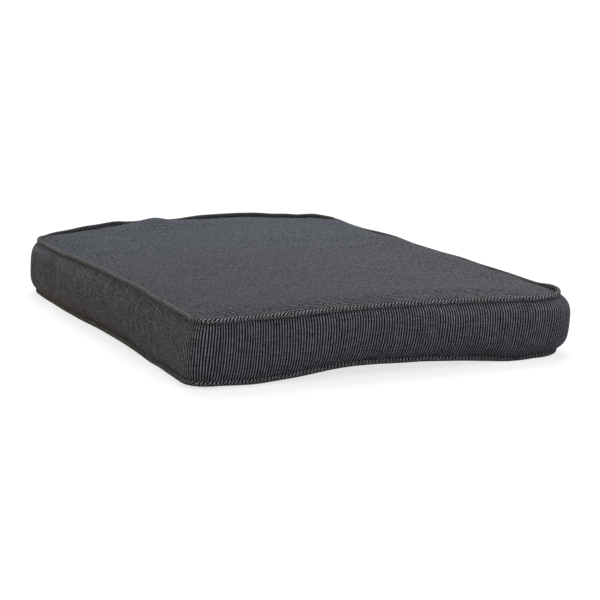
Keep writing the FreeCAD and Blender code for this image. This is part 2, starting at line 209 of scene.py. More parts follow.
stripe_pitch = 0.0025
thread_pitch = 0.0005
# The panels' copy of the cloth. The boxing's copy has paler stripes and a darker ground, so the
# faces of one cloth differ by painted light and shade.
ground_colour = (0.0035, 0.0034, 0.0070)
stripe_colour = (0.172, 0.175, 0.199)
soil_colour = (0.098, 0.062, 0.042)


class Value:
    """A shader value that takes part in arithmetic as a number does."""

    def __init__(self, finish, socket):
        self.finish, self.socket = finish, socket

    def math(self, operation, *others):
        return self.finish.node("ShaderNodeMath", {"operation": operation}, (self,) + others)

    def __add__(self, other):
        return self.math("ADD", other)

    def __sub__(self, other):
        return self.math("SUBTRACT", other)

    def __mul__(self, other):
        return self.math("MULTIPLY", other)

    __radd__, __rmul__ = __add__, __mul__


class Finish:
    """A material whose surface is written with values and nodes."""

    def __init__(self, name, **constants):
        self.material = bpy.data.materials.new(name)
        self.material.use_nodes = True
        self.tree = self.material.node_tree
        self.surface = self.tree.nodes["Principled BSDF"]
        for socket, number in constants.items():
            self.surface.inputs[socket.replace("_", " ")].default_value = number

    def node(self, kind, settings=None, inputs=(), output=0):
        made = self.tree.nodes.new(kind)
        for setting, choice in (settings or {}).items():
            setattr(made, setting, choice)
        pairs = inputs.items() if isinstance(inputs, dict) else enumerate(inputs)
        for key, value in pairs:
            self.feed(made.inputs[key], value)
        return Value(self, made.outputs[output])

    def feed(self, socket, value):
        if isinstance(value, Value):
            self.tree.links.new(value.socket, socket)
        elif isinstance(value, tuple) and socket.type == "RGBA":
            socket.default_value = (*value, 1)
        else:
            socket.default_value = value

    def blend(self, factor, first, second, kind="MIX"):
        settings = {"data_type": "RGBA", "blend_type": kind}
        return self.node("ShaderNodeMix", settings, {0: factor, 6: first, 7: second}, output=2)

    def noise(self, place, scale, detail=2.0, roughness=0.5):
        return self.node("ShaderNodeTexNoise", inputs={
            "Vector": place, "Scale": scale, "Detail": detail, "Roughness": roughness})

    def grain(self, place, across, down, detail=2.0, roughness=0.5):
        """Noise with its own scale across the stripes and down them."""
        stretched = self.node(
            "ShaderNodeVectorMath", {"operation": "MULTIPLY"}, {0: place, 1: (across, down, 1.0)})
        return self.noise(stretched, 1.0, detail, roughness)

    def ramp(self, value, low, high, start=0.0, end=1.0, shape="SMOOTHSTEP"):
        """Runs from start to end while the value runs from low to high."""
        return self.node("ShaderNodeMapRange", {"interpolation_type": shape}, {
            "Value": value, "From Min": low, "From Max": high, "To Min": start, "To Max": end})

    def grey(self, level):
        return self.node("ShaderNodeCombineColor", inputs=(level, level, level))

    def place(self, layer):
        return self.node("ShaderNodeUVMap", {"uv_map": layer})

    def parts(self, vector):
        return [
            self.node("ShaderNodeSeparateXYZ", inputs=(vector,), output=axis) for axis in (0, 1)]

    def bump(self, height, distance):
        return self.node("ShaderNodeBump", inputs={"Height": height, "Distance": distance})

    def show(self, **links):
        for socket, value in links.items():
            self.feed(self.surface.inputs[socket.replace("_", " ")], value)
        return self.material


def wave(value, pitch):
    """A cosine of unit height with a given pitch."""
    return (value * (2 * math.pi / pitch)).math("COSINE") * 0.5 + 0.5


def striped_cloth(
        name, ground=ground_colour, stripe=stripe_colour, turned=0.0, edge=(0.50, 0.68),
        mottle=0.0, painted_light=False, shaded_span=None, soil=None):
    """Cloth whose stripes cross the first cloth axis, or run at an angle to it.

    Between the two places given for painted shade the stripes keep just over half of their
    paleness, and beyond the second most of it: painted shade on the far piping. Soil is the
    height up to which the cloth's lower edge is soiled, mostly at the back left.
    """
    finish = Finish(name, Sheen_Weight=0.04, Sheen_Roughness=0.5, Specular_IOR_Level=0.08)
    place = finish.place("cloth")
    along, height = finish.parts(place)
    across, down = along, height
    if turned:
        rise, run = math.sin(turned), math.cos(turned)
        across, down = along * run + height * rise, height * run - along * rise
    wander = finish.grain(place, 160.0, 45.0)
    sway = 0.0016
    if soil:
        sway = finish.ramp(along, -0.05, 0.0, 0.0040, 0.0015)
    line = wave(across + (wander - 0.5) * sway, stripe_pitch)
    stripe_mask = finish.ramp(line, *edge)
    weave = wave(across, thread_pitch) * wave(down, thread_pitch)
    slub = finish.grain(place, 1500.0, 300.0, 4.0, 0.75)
    fleck = finish.grain(place, 95.0, 560.0, 3.0, 0.7)
    uneven = finish.grain(place, 330.0, 14.0, 1.0)
    speck = finish.grain(place, 260.0, 900.0, 2.0, 0.6)
    broad = finish.noise(place, 38.0, 4.0, 0.6)
    colour = finish.blend(stripe_mask * (0.45 + slub * 0.5 + uneven * 0.6), ground, stripe)
    shade = slub * 1.2 + fleck * 2.6 + speck * mottle + broad * 0.4 - (1.1 + mottle / 2)
    colour = finish.blend(1.0, colour, finish.grey(shade), "MULTIPLY")
    # Painted shade on the piping: darker along the right and back, and a little darker along the
    # left, where its seen side faces away from the light.
    if shaded_span:
        shaded_share = finish.ramp(along, shaded_span[0] - 0.015, shaded_span[0] + 0.015, 1.0, 0.55)
        shade_eased = finish.ramp(along, shaded_span[1] - 0.03, shaded_span[1] + 0.03, 0.0, 0.33)
        colour = finish.blend(1.0, colour, finish.grey(shaded_share + shade_eased), "MULTIPLY")
    # Painted light on the panels: a paler, bluer painted sheen towards the back and painted shade
    # towards the left, where the crown turns away from the light.
    if painted_light:
        sheen_towards_back = finish.ramp(across, -0.12, 0.21)
        shade_towards_left = finish.ramp(down + across * 0.15, -0.16, 0.10)
        cast = finish.blend(sheen_towards_back, (0.975, 0.97, 0.975), (0.96, 1.045, 1.10))
        painted_shade = finish.blend(shade_towards_left, (0.83, 0.83, 0.84), (1.02, 1.02, 1.02))
        colour = finish.blend(1.0, colour, finish.blend(1.0, cast, painted_shade, "MULTIPLY"), "MULTIPLY")
    if soil:
        low = finish.ramp(height, 0.0, soil, 1.0, 0.0)
        left = finish.ramp((along + 0.38).math("ABSOLUTE"), 0.0, 0.32, 1.0, 0.0, "LINEAR")
        smear = finish.grain(place, 35.0, 90.0, 4.0, 0.65)
        colour = finish.blend(low * left * smear, colour, soil_colour)
    relief = stripe_mask * 0.5 + weave * 0.5 + slub * 0.6
    return finish.show(
        Base_Color=colour, Roughness=0.82 + slub * 0.15, Normal=finish.bump(relief, 0.00022))


# The panels' cloth carries a painted sheen towards the back and painted shade towards the left.
cloth_finish = striped_cloth("striped_cloth", mottle=3.8, painted_light=True)


# ---- Cover shell ----
# The cover is drawn as one closed bag first: top panel, boxing and bottom panel, sewn along
# the seam line. The bag is blown up a little against its seams as cloth, and the panels are
# then cut from it along the seams and the boxing's joints.

boxing_rows = 16
row_shares = (1 - np.cos(np.linspace(0, math.pi, boxing_rows + 1))) / 2
fullness = 4.5               # squareness of the boxing's swell
edge_rise = 0.0048
edge_roll = (0.005, 0.02)    # reaches of the two halves of that rise
crest_distance = 0.012
seam_groove = 0.0020
groove_distance = 0.003
crowning_rise = 0.003        # from this rise on, the top hides its piping
dip_span = 0.0036
middle_sag = 0.0066
middle_reach = 0.07
bottom_reach = 0.05          # over which the underside comes down to the ground
bottom_sink = 0.001          # press of the ground, which flattens it
bottom_clearance = 0.0002
swell_limit = 0.0025
swell_frames = 20
back_panel_wrap = 0.085
gather_lengths, gather_waves = (0.007, 0.019), 7
# how far the top rises beside its seam: (share of the side, rise) on the front, right, back, left
edge_rises = (
    ((0, 0.0045), (0.8, 0.0045), (0.93, 0.0022), (1, 0.0008)),
    ((0, 0.0008), (0.07, 0.0015), (0.18, 0.0066), (0.3, 0.0092), (0.6, 0.0098), (0.66, 0.0080),
     (0.74, 0.0080), (0.84, 0.0092), (0.9, 0.0066), (0.95, 0.0018), (1, 0.0008)),
    ((0, 0.0010), (0.1, 0.0008), (0.43, 0.0008), (0.53, 0.0040), (0.60, 0.0058), (0.66, 0.0048),
     (0.72, 0.0012), (0.88, 0.0010), (1, 0.0034)),
    ((0, 0.0042), (1, 0.0045)))


def smooth_distance(points):
    """Distance in from the seam line, rounded where two sides compete."""
    total = 0.0
    for side in range(4):
        outward = np.array((math.cos(side_angles[side]), math.sin(side_angles[side])))
        distance = np.maximum((corners[side] - points[:, :2]) @ outward, 1e-5)
        total = total + distance ** -3.0
    return total ** (-1 / 3)


def from_seam(points, line_plan):
    """Distance of points from a seam, and the seam point that each is nearest to."""
    across = points[:, None, 0] - line_plan[None, :, 0]
    deep = points[:, None, 1] - line_plan[None, :, 1]
    square = across ** 2 + deep ** 2
    return np.sqrt(square.min(1)), square.argmin(1)


def patch(edge):
    """A net of points filling a closed edge, given as one row of points round it."""
    across, deep = cells_across, cells_deep
    front = edge[:across + 1]
    right = edge[across:across + deep + 1]
    back = edge[across + deep:2 * across + deep + 1][::-1]
    left = np.vstack([edge[2 * across + deep:], edge[:1]])[::-1]
    u = np.linspace(0, 1, across + 1)[None, :, None]
    v = np.linspace(0, 1, deep + 1)[:, None, None]
    ruled_v = front[None] * (1 - v) + back[None] * v
    ruled_u = left[:, None] * (1 - u) + right[:, None] * u
    bilinear = (front[0] * (1 - u) * (1 - v) + front[-1] * u * (1 - v)
                + back[0] * (1 - u) * v + back[-1] * u * v)
    return ruled_u + ruled_v - bilinear


fine_parts = 4
fine_seam = seam_of(fine_parts)


def rises(parts):
    """Rise beside every column of a seam that is parts times as fine as the cloth's."""
    return np.concatenate([
        np.interp(eased(np.linspace(0, 1, steps * parts, endpoint=False)), *zip(*keys))
        for steps, keys in zip((cells_across, cells_deep) * 2, edge_rises)])


def dip(rise):
    """One where the top dips inside its piping, nought where it crowns over it."""
    return np.clip((crowning_rise - rise) / dip_span, 0, 1)


def top_net_of():
    """The top panel: it leaves the seam, rounds over, and sags a little towards its middle."""
    net = patch(seam.points(np.zeros(seam.count), seam.top))
    flat = net.reshape(-1, 3)
    inside, nearest = from_seam(flat, fine_seam.plan)
    rise = rises(fine_parts)[nearest]
    crest, trough = inside / crest_distance, inside / groove_distance
    near, far = (np.exp(-inside / reach) for reach in edge_roll)
    sag = middle_sag * (1 - np.exp(-smooth_distance(flat) / middle_reach))
    flat[:, 2] += edge_rise * (1 - 0.5 * near - 0.5 * far)
    flat[:, 2] += (rise - edge_rise) * crest * np.exp(1 - crest)
    flat[:, 2] -= seam_groove * dip(rise) * trough * np.exp(1 - trough)
    flat[:, 2] -= sag * (1 - far)
    return net


def bottom_net_of():
    """The bottom panel, which settles flat on the ground away from its seam."""
    net = patch(seam.points(np.zeros(seam.count), seam.bottom, 0.0))
    flat = net.reshape(-1, 3)
    settle = np.exp(-from_seam(flat, fine_seam.low_plan)[0] / bottom_reach)
    flat[:, 2] = np.maximum(flat[:, 2] * settle - bottom_sink * (1 - settle), bottom_clearance)
    return net


def swollen(line, t, columns=slice(None)):
    """How far the strip stands out of the seam line, at a share t of its height."""
    bow = (1 - abs(2 * t - 1) ** fullness) * (1 + line.skew[columns] * (2 * t - 1))
    return line.swell[columns] * bow


def boxing_net():
    """The strip between the seams, from the bottom seam up, with its rows closer at the seams."""
    return np.array([
        seam.points(swollen(seam, t), seam.bottom * (1 - t) + seam.top * t, t)
        for t in row_shares])


def joint_column(side):
    """The column nearest to where the side strip meets the back panel."""
    turn = turn_between(1, 2)
    corner = top_radii[3 if side == 3 else 2]
    reach = back_panel_wrap + corner * (turn / 2 - math.tan(turn / 2))
    shares = eased(np.linspace(0, 1, cells_deep + 1))
    cells = int(np.argmin(np.abs(shares - reach / side_length(side, top_radii))))
    return cells_across + cells_deep + (cells_across + cells if side == 3 else -cells)


def edge_ring(array):
    """The border of a net of indices, in the order of the seam's columns."""
    return np.concatenate([array[0, :-1], array[:-1, -1], array[-1, :0:-1], array[:0:-1, 0]])


def evened(shift, closed):
    """A net of movements with its short creases eased out, still zero where it is held."""
    for _ in range(6):
        ahead, behind = np.roll(shift, -1, 1), np.roll(shift, 1, 1)
        inner = shift[1:-1] * 0.4 + (ahead + behind)[1:-1] * 0.15 + (shift[2:] + shift[:-2]) * 0.15
        inner[np.abs(shift[1:-1]).sum(-1) == 0] = 0
        if not closed:
            inner[:, (0, -1)] = 0
        shift = np.concatenate([shift[:1], inner, shift[-1:]])
    return shift


def new_object(name, points, faces, finish=None):
    mesh = bpy.data.meshes.new(name)
    mesh.from_pydata(points, [], faces)
    if finish:
        mesh.materials.append(finish)
        mesh.shade_smooth()
    piece = bpy.data.objects.new(name, mesh)
    bpy.context.scene.collection.objects.link(piece)
    return piece


def quads_of(index, ahead):
    """Faces between the points of a net of indices and those one column ahead."""
    return np.stack([index[:-1], ahead[:-1], ahead[1:], index[1:]], -1).reshape(-1, 4)


def swell_bag(top, bottom, walls):
    """Cloth simulation of the closed bag with its seams, underside and back held."""
    size = top.shape[0] * top.shape[1]
    top_index = np.arange(size).reshape(top.shape[:2])
    bottom_index = top_index + size
    inner = walls[1:-1]
    wall_index = 2 * size + np.arange(inner.shape[0] * seam.count).reshape(inner.shape[:2])
    wall_index = np.vstack([edge_ring(bottom_index), wall_index, edge_ring(top_index)])
    points = np.vstack([top.reshape(-1, 3), bottom.reshape(-1, 3), inner.reshape(-1, 3)])

    faces = quads_of(top_index[:, :-1], top_index[:, 1:]).tolist()
    faces += quads_of(bottom_index[:, :-1], bottom_index[:, 1:])[:, ::-1].tolist()
    faces += quads_of(wall_index, np.roll(wall_index, -1, axis=1)).tolist()
    bag = new_object("bag", points.tolist(), faces)

    held = set(edge_ring(top_index)) | set(bottom_index.ravel())
    start, end = joint_column(1), joint_column(3)
    held |= set(wall_index[:, start:end + 1].ravel())
    group = bag.vertex_groups.new(name="held")
    group.add([int(index) for index in held], 1.0, "REPLACE")

    cloth = bag.modifiers.new("cloth", "CLOTH")
    settings = cloth.settings
    settings.quality = 7
    settings.mass = 0.25
    settings.tension_stiffness = settings.compression_stiffness = 12
    settings.shear_stiffness = 4
    settings.bending_stiffness = 1.5
    settings.air_damping = 3
    settings.use_pressure = True
    settings.uniform_pressure_force = 2.2
    settings.shrink_min = -0.008
    settings.vertex_group_mass = "held"
    settings.effector_weights.gravity = 0
    cloth.collision_settings.use_collision = False
    scene = bpy.context.scene
    for number in range(1, swell_frames + 1):
        scene.frame_set(number)
    shaped = bag.evaluated_get(bpy.context.evaluated_depsgraph_get())
    moved = np.array([vertex.co for vertex in shaped.data.vertices])
    scene.frame_set(1)
    bpy.data.objects.remove(bag)
    shift = moved - points
    reach = np.linalg.norm(shift, axis=1, keepdims=True)
    shift *= np.minimum(1, swell_limit / np.maximum(reach, 1e-9))
    return [
        points[index] + evened(shift[index], closed)
        for index, closed in ((top_index, False), (bottom_index, False), (wall_index, True))]


top_net, bottom_net, wall_net = top_net_of(), bottom_net_of(), boxing_net()
top_net, bottom_net, wall_net = swell_bag(top_net, bottom_net, wall_net)


def ripples(points, wrinkles, seed):
    """Soft uneven relief: plane waves of many lengths and directions.

    Wrinkles are given as (height, shortest length, longest length, number of waves).
    """
    height, shortest, longest, count = wrinkles
    chance = np.random.default_rng(seed)
    total = np.zeros(len(points))
    for _ in range(count):
        length = chance.uniform(shortest, longest)
        direction = chance.normal(size=3)
        direction /= np.linalg.norm(direction)
        phase = chance.uniform(0, 2 * math.pi)
        total += np.sin(points @ direction * (2 * math.pi / length) + phase)
    return total * (height / math.sqrt(count))


def net_normals(net, closed):
    along = (np.roll(net, -1, 1) - np.roll(net, 1, 1)) if closed else np.gradient(net, axis=1)
    normal = np.cross(along, np.gradient(net, axis=0))
    return normal / np.maximum(np.linalg.norm(normal, axis=2, keepdims=True), 1e-12)


def puckers(distance, inside, height, reach, seed):
    """Short gathers that run into a seam, uneven along it and fading away from it."""
    chance = np.random.default_rng(seed)
    along = distance * (2 * math.pi)
    gather = sum(
        np.sin(along / chance.uniform(*gather_lengths) + chance.uniform(0, 2 * math.pi))
        for _ in range(gather_waves)) / math.sqrt(gather_waves)
    return height * gather * np.exp(-inside / reach)


def net_object(name, net, cloth_places, finish, closed=False, smooth_levels=1, thickness=0.0):
    """A quad net as an object with its places on the flat cloth as a UV layer."""
    rows, columns = net.shape[:2]
    index = np.arange(rows * columns).reshape(rows, columns)
    width = columns if closed else columns - 1
    quads = quads_of(index[:, :width], np.roll(index, -1, axis=1)[:, :width])
    piece = new_object(name, net.reshape(-1, 3).tolist(), quads.tolist(), finish)
    places = cloth_places.reshape(rows, -1, 2)
    loops = np.stack([places[:-1, :-1], places[:-1, 1:], places[1:, 1:], places[1:, :-1]], 2)
    layer = piece.data.uv_layers.new(name="cloth")
    layer.data.foreach_set("uv", loops.reshape(-1).astype(np.float32))
    if smooth_levels:
        smoother = piece.modifiers.new("smooth", "SUBSURF")
        smoother.levels = smoother.render_levels = smooth_levels
        smoother.uv_smooth = "PRESERVE_BOUNDARIES"
    if thickness:
        thicker = piece.modifiers.new("thickness", "SOLIDIFY")
        thicker.thickness, thicker.offset = thickness, -1
    return piece


# ---- Panels ----
# Top and bottom panels, cut from the same cloth with its stripes running from side to side.
# They are sewn in under the piping, so their edges dip into the seam and gather a little.

cloth_thickness = 0.0006
top_wrinkles = (0.00022, 0.022, 0.075, 26)
top_swells = (0.0006, 0.09, 0.2, 12)
top_margin = 0.01            # over which they rise, in from the seam
top_gathers = (0.00010, 0.009)
at_seam = 1e-4               # points nearer to a seam than this are sewn fast


def wrinkle_top(net, seed):
    """Unevenness of the worn top, and the gathers along its seam."""
    flat = net.reshape(-1, 3)
    inside, nearest = from_seam(flat, fine_seam.plan)
    distance = fine_seam.distance[nearest]
    relief = ripples(flat, top_wrinkles, seed) + ripples(flat, top_swells, seed + 1)
    relief *= 1 - np.exp(-inside / top_margin)
    relief += puckers(distance, inside, *top_gathers, seed + 2) * (inside > at_seam)
    flat[:, 2] += relief


def panel(name, net):
    piece = net_object(name, net, net[..., 1::-1], cloth_finish, thickness=cloth_thickness)
    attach(piece, "pad")
    return piece


wrinkle_top(top_net, 11)
top_panel = panel("top_cloth", top_net)
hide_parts("top_panel", "wadding_top", "foam_core")
bottom_panel = panel("bottom_cloth", bottom_net[:, ::-1])
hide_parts("bottom_panel", "wadding_bottom")


# ---- Side boxing ----
# One strip of the striped cloth, stripes upright, runs from the left joint round the front to
# the right joint. It swells between the seams, and its stripes lean a little, because the
# strip was fed in unevenly when it was sewn.

# The boxing's copy of the cloth has paler stripes and a darker ground than the panels' copy:
# painted light and shade between faces of one cloth.
strip_finish = striped_cloth(
    "boxing_cloth", ground=(0.0025, 0.0025, 0.0060), stripe=(0.190, 0.190, 0.231), soil=0.022)
stripe_leans = ((-0.06, 0.0, 0.1, 0.28, 0.34), (-0.0030, -0.0022, 0.0042, 0.0060, 0.0080))
stripe_waver = 0.0012
boxing_height = top_seam - bottom_seam
strip_wrinkles = (0.00014, 0.02, 0.07, 24)
strip_swells = (0.0003, 0.08, 0.16, 8)
strip_gathers = (0.00012, 0.008)
strip_margin, joint_margin = 0.007, 0.02     # over which wrinkles rise from seams and joints


def strip_places(distances):
    """Places on the flat strip: distance round the pad and height, with the lean of the stripes."""
    t = row_shares[:, None]
    lean = np.interp(distances, *stripe_leans) + stripe_waver * np.sin(distances * 41 + 1.3)
    return np.stack([distances - lean * (t - 0.5), t * boxing_height + 0 * distances], -1)


def side_strip():
    start, end = joint_column(3), joint_column(1)
    columns = np.r_[start:seam.count, 0:end + 1]
    net = wall_net[:, columns]
    distances = seam.distance[columns] - seam.length * (columns >= start)
    flat = net.reshape(-1, 3)
    inside = np.repeat(np.minimum(row_shares, 1 - row_shares) * boxing_height, len(columns))
    spread = np.tile(distances, len(row_shares))
    ends = np.minimum(spread - distances[0], distances[-1] - spread)
    relief = ripples(flat, strip_wrinkles, 31) + ripples(flat, strip_swells, 32)
    relief *= (1 - np.exp(-inside / strip_margin)) * (1 - np.exp(-ends / joint_margin))
    relief += puckers(spread, inside, *strip_gathers, 33) * (inside > at_seam)
    net = (flat + net_normals(net, False).reshape(-1, 3) * relief[:, None]).reshape(net.shape)
    piece = net_object(
        "side_strip", net, strip_places(distances), strip_finish, thickness=cloth_thickness)
    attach(piece, "pad")
    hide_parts("side_boxing")


side_strip()


# ---- Back boxing ----
# Two strips make the back panel and wrap the back corners. Their turned edges lie along the
# zip, each stitched down beside its fold, and meet beyond the zip's ends.

tape_low, tape_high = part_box("zip_tape_lower"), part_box("zip_tape_upper")
tape_end = tape_high[1].x
slider_low, slider_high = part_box("zip_slider")
slot_gap = 0.0005
slot_half = (slider_high.z - slider_low.z) / 2 + slot_gap
back_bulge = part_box("back_boxing_upper")[1].y - depth / 2
hem_width = 0.0075
back_rows = 13
strip_half = 0.02            # width of a back strip, for its gathers
back_wrinkles = (0.00025, 0.02, 0.06, 24)
back_gathers = (0.0002, 0.005)
slit_start, slit_length = 0.0105, 0.0095     # before a tape's end, and along it
round_start, round_length = 0.004, 0.03      # where the drawn arc gives way to the sewn swell
# the turned edge, from the fold inwards: (how far in, how far from the fold)
fold = ((-0.0004, 0.0001), (-0.0009, 0.0007), (-0.0009, hem_width / 2), (-0.0009, hem_width))
arc_half = top_seam - middle - piping_radius
arc_radius = (arc_half ** 2 + back_bulge ** 2) / (2 * back_bulge)


def arc_drop(offset):
    """How far the back's drawn arc falls back from its crest, at a height off mid-height."""
    return arc_radius - np.sqrt(arc_radius ** 2 - offset ** 2)


def slot_opening(x):
    """Half height of the opening for the zip, closing to a slit beyond its ends."""
    return slot_half * (1 - smooth_step((np.abs(x) - tape_end + slit_start) / slit_length))


def back_strip(name, node, side):
    start, end = joint_column(1), joint_column(3)
    fine = seam_of(2)
    columns = np.arange(2 * start, 2 * end + 1)
    distances = fine.distance[columns] - fine.length
    low, high = fine.bottom[columns], fine.top[columns]
    opening = np.where(fine.side_of[columns] == 2, slot_opening(fine.plan[columns, 0]), 0.0)
    around = np.abs(distances - (distances[0] + distances[-1]) / 2)
    blend = smooth_step(1 - (around - tape_end + round_start) / round_length)
    rows, places = [], []
    steps = 1 - np.cos(np.linspace(0, math.pi / 2, back_rows))
    for t in steps:
        z = (high if side > 0 else low) * (1 - t) + (middle + side * opening) * t
        share = (z - low) / (high - low)
        arc = back_bulge - arc_drop(min((top_seam - middle) * (1 - t), arc_half))
        swell = arc * blend + swollen(fine, share, columns) * (1 - blend)
        rows.append(fine.points(swell, z, share, columns))
        places.append(np.column_stack([distances, z]))
    for inset, run in fold:
        z = middle + side * (opening + run)
        swell = (back_bulge - arc_drop(opening + run)) * blend + fine.swell[columns] * (1 - blend)
        rows.append(fine.points(swell + inset, z, 0.5, columns))
        places.append(np.column_stack([distances, middle - side * run + 0 * z]))
    net, places = np.array(rows), np.array(places)
    flat = net.reshape(-1, 3)
    inside = np.repeat(np.r_[steps, np.ones(len(fold))], len(columns))
    spread = np.tile(distances, len(rows))
    ends = np.minimum(spread - distances[0], distances[-1] - spread)
    relief = ripples(flat, back_wrinkles, 41)
    relief *= np.clip((1 - inside) * 3, 0, 1) * np.clip(inside * 5, 0, 1)
    relief *= 1 - np.exp(-ends / joint_margin)
    relief += puckers(spread, inside * strip_half, *back_gathers, 43) * (inside > at_seam)
    normal = net_normals(net, False).reshape(-1, 3) * (-side)
    net = (flat + normal * relief[:, None]).reshape(net.shape)
    if side > 0:
        net, places = net[::-1], places[::-1]
    piece = net_object(name, net, places, strip_finish)
    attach(piece, "pad")
    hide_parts(node)


back_strip("back_strip_upper", "back_boxing_upper", 1)
back_strip("back_strip_lower", "back_boxing_lower", -1)


# ---- Piping ----
# A cord wrapped in a strip of the same cloth cut on the bias, so its stripes wind round it
# like the lay of a rope. One is sewn into each seam and joined on the left near the back.
# The lower one is a copy with darker stripes, painted shade for its place low under the swell of
# the boxing.

piping_twist = math.radians(41.5)
piping_stand = math.radians(50)      # how far it tips up where the top dips inside it
piping_parts = 3
tube_sides = 14
sewn_share = 0.98                    # share of its radius at which it stands out of the seam
sideways_wobble, upward_wobble, girth_wobble = 0.00018, 0.0001, 0.02
wobble_lengths, wobble_waves = (0.05, 0.2), 8
upward_shift, girth_shift = 90, 200  # columns, so that the wobbles don't fall together
join_column = piping_parts * (2 * cells_across + cells_deep) + 8
join_reach = 0.005
upper_lump, lower_lump = 0.1, 0.45   # extra girth at the join
bias_ground = (0.0020, 0.0020, 0.0034)
bias_edge = (0.62, 0.78)
# The upper piping carries painted shade along its right, back and left sides.
piping_finish = striped_cloth(
    "bias_cloth", ground=bias_ground, stripe=(0.31, 0.31, 0.325), turned=piping_twist,
    edge=bias_edge, shaded_span=(front_width, front_width + depth + back_width))
# Painted shade: the lower piping's copy of the bias cloth has darker stripes than the upper one's.
shaded_piping_finish = striped_cloth(
    "shaded_bias_cloth", ground=bias_ground, stripe=(0.225, 0.222, 0.232), turned=piping_twist,
    edge=bias_edge)


def piping(name, upper, nodes, seed):
    fine = seam_of(piping_parts)
    heights = fine.top if upper else fine.bottom
    outward = fine.outward if upper else fine.low_outward
    chance = np.random.default_rng(seed)
    turn = fine.distance * 2 * math.pi / fine.length
    wobble = sum(
        chance.uniform(0.3, 1) * np.sin(
            turn * round(fine.length / chance.uniform(*wobble_lengths))
            + chance.uniform(0, 2 * math.pi)) for _ in range(wobble_waves))
    stand = dip(rises(piping_parts)) * piping_stand * upper
    outset = piping_radius * sewn_share * np.cos(stand) + sideways_wobble * wobble
    heights = heights + piping_radius * np.sin(stand)
    heights = heights + upward_wobble * np.roll(wobble, upward_shift)
    centre = fine.points(outset, heights, float(upper))
    from_join = np.abs(fine.distance - fine.distance[join_column])
    lump = (upper_lump if upper else lower_lump) * np.exp(-(from_join / join_reach) ** 2)
    radius = piping_radius * (1 + girth_wobble * np.roll(wobble, girth_shift)) * (1 + lump)
    rows = []
    angles = np.linspace(0, 2 * math.pi, tube_sides, endpoint=False)
    for angle in angles:
        shift = outward * (radius * math.cos(angle))[:, None]
        level = np.maximum(centre[:, 2] + radius * math.sin(angle), 0)
        rows.append(np.column_stack([centre[:, :2] + shift, level]))
    net = np.array(rows + rows[:1])
    turns = np.r_[angles, 2 * math.pi][:, None] * piping_radius
    distance, length = fine.travel(centre)
    stations = np.append(distance, length)[None]
    places = np.stack([stations + 0 * turns, 0 * stations - turns], -1)
    piece = net_object(
        name, net[::-1], places[::-1], piping_finish if upper else shaded_piping_finish,
        closed=True, smooth_levels=0)
    weld = piece.modifiers.new("join", "WELD")
    weld.merge_threshold = 1e-6
    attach(piece, "pad")
    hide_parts(*nodes)


piping("top_piping", True, ("top_piping_cover", "top_piping_cord"), 51)
piping("bottom_piping", False, ("bottom_piping_cover", "bottom_piping_cord"), 52)


# ---- Zip tapes ----
# Two woven polyester tapes, sewn behind the turned edges of the back strips. Their inner
# edges lie under the coils, leave room for the slider's divider and part inside the slider.

strand_face = tape_low[1].y
chain_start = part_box("zip_coil_upper")[0].x
divider_room = 0.001
tape_thickness = 0.0005
tape_columns, tape_rows = 180, 12
tape_gap = 0.0001            # between the inner edges where they lie together
# past the slider and before the chain's start the edges close: (after what gap, how long)
slider_close, chain_close = (0.003, 0.006), (0.002, 0.004)
spread_slope = 0.23          # sideways run of a strand to a metre of slider
spread_share = 0.75          # share of the slider in which the strands part


def woven_tape():
    finish = Finish("woven_tape", Sheen_Weight=0.1)
    place = finish.place("cloth")
    across, down = finish.parts(place)
    rib = wave(down + wave(across, 0.0024) * 0.0004, 0.0008)
    yarn = wave(across, 0.0006)
    fibre = finish.grain(place, 900.0, 3000.0, 3.0)
    shade = 0.35 + rib * 0.35 + yarn * 0.15 + fibre * 0.3
    colour = finish.blend(shade, (0.004, 0.004, 0.006), (0.040, 0.040, 0.052))
    return finish.show(
        Base_Color=colour, Roughness=0.7 + fibre * 0.2,
        Normal=finish.bump(rib + yarn * 0.4, 0.0002))


tape_finish = woven_tape()


def strand_spread(x):
    """Sideways shift of a strand inside the slider."""
    spread_length = (slider_high.x - slider_low.x) * spread_share
    return spread_slope * np.clip(x - (slider_high.x - spread_length), 0, spread_length)


def tape(name, node, side):
    low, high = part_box(node)
    stations = np.linspace(low.x, high.x, tape_columns)
    reach = max(abs(high.z - middle), abs(low.z - middle))
    past_end = (stations - slider_high.x - slider_close[0]) / slider_close[1]
    before_start = (chain_start + chain_close[0] - stations) / chain_close[1]
    parting = np.maximum(divider_room, strand_spread(stations))
    inner = tape_gap + parting * (1 - smooth_step(np.maximum(past_end, before_start)))
    rows, places = [], []
    for t in np.linspace(0, 1, tape_rows):
        offset = inner * (1 - t) + reach * t
        level = strand_face - arc_drop(offset)
        rows.append(np.column_stack([stations, level, middle + side * offset]))
        places.append(np.column_stack([stations, offset]))
    net, places = np.array(rows), np.array(places)
    if side > 0:
        net, places = net[:, ::-1], places[:, ::-1]
    piece = net_object(name, net, places, tape_finish, smooth_levels=0, thickness=tape_thickness)
    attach(piece, "pad")
    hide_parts(node)


tape("woven_tape_upper", "zip_tape_upper", 1)
tape("woven_tape_lower", "zip_tape_lower", -1)


# ---- Zip coils ----
# Each coil is one nylon filament wound flat, its loops lying side by side. The loops of the
# two coils lock between each other along the middle, and spread apart inside the slider.

coil_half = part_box("zip_coil_upper")[1].z - middle
coil_pitch = 0.0025
filament_radius = 0.00042
filament_sides = 7
loop_steps = 16
loop_squareness = 0.75       # under one, a loop lingers at its head and its back
head_reach = 0.00085         # how far a loop's head crosses the middle of the chain


